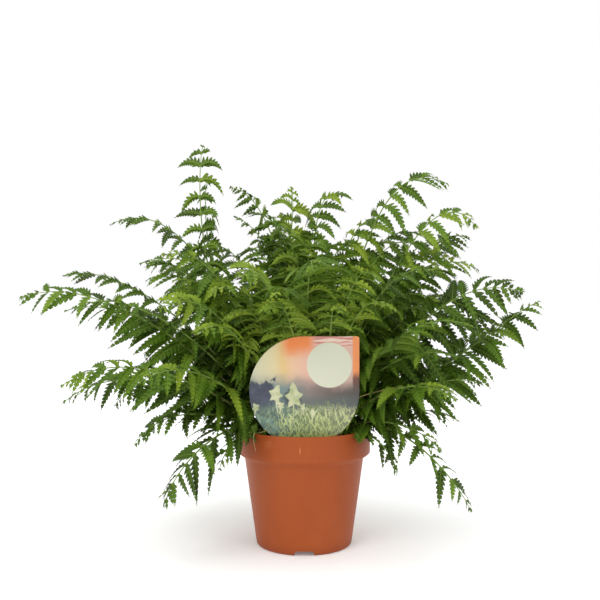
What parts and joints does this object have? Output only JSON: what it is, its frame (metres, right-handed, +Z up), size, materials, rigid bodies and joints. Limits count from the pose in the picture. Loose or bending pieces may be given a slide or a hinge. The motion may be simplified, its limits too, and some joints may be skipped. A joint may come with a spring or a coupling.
{
  "type": "potted fern",
  "caption": "Bushy fern with long arching divided fronds rising from a low crown, in a round nursery pot with a stepped rim and an upright plant label.",
  "frame": {"origin": "on the pot's axis at the level of the foot it stands on", "axes": "+Z up, -Y to the front, where the plant label stands, +X to the right seen from the front"},
  "size_m": [0.503, 0.3845, 0.3962],
  "materials": {
    "terracotta_plastic": "moulded nursery pot, satin, earth brown-red",
    "peat_soil": "moist dark potting soil, rough",
    "crown_scales": "brown scaly frond bases, rough",
    "label_card": "printed plastic card, soft gloss",
    "fern_leaf": "fresh green fern blade, soft sheen"
  },
  "bodies": {
    "root": {"crown": "crown_scales", "frond_back_01": "fern_leaf", "frond_back_02": "fern_leaf", "frond_back_03": "fern_leaf", "frond_back_04": "fern_leaf", "frond_back_05": "fern_leaf", "frond_back_06": "fern_leaf", "frond_back_07": "fern_leaf", "frond_back_08": "fern_leaf", "frond_back_09": "fern_leaf", "frond_back_10": "fern_leaf", "frond_back_11": "fern_leaf", "frond_back_12": "fern_leaf", "frond_back_13": "fern_leaf", "frond_front_01": "fern_leaf", "frond_front_02": "fern_leaf", "frond_front_03": "fern_leaf", "frond_front_04": "fern_leaf", "frond_front_05": "fern_leaf", "frond_front_06": "fern_leaf", "frond_front_07": "fern_leaf", "frond_front_08": "fern_leaf", "frond_front_09": "fern_leaf", "frond_left_01": "fern_leaf", "frond_left_02": "fern_leaf", "frond_left_03": "fern_leaf", "frond_left_04": "fern_leaf", "frond_left_05": "fern_leaf", "frond_left_06": "fern_leaf", "frond_left_07": "fern_leaf", "frond_left_08": "fern_leaf", "frond_left_09": "fern_leaf", "frond_left_10": "fern_leaf", "frond_left_11": "fern_leaf", "frond_left_12": "fern_leaf", "frond_left_13": "fern_leaf", "frond_left_14": "fern_leaf", "frond_left_15": "fern_leaf", "frond_middle_01": "fern_leaf", "frond_middle_02": "fern_leaf", "frond_middle_03": "fern_leaf", "frond_middle_04": "fern_leaf", "frond_middle_05": "fern_leaf", "frond_right_01": "fern_leaf", "frond_right_02": "fern_leaf", "frond_right_03": "fern_leaf", "frond_right_04": "fern_leaf", "frond_right_05": "fern_leaf", "frond_right_06": "fern_leaf", "frond_right_07": "fern_leaf", "frond_right_08": "fern_leaf", "frond_right_09": "fern_leaf", "frond_right_10": "fern_leaf", "frond_right_11": "fern_leaf", "frond_right_12": "fern_leaf", "frond_right_13": "fern_leaf", "plant_label": "label_card", "pot": "terracotta_plastic", "potting_soil": "peat_soil"}
  },
  "joints": []
}
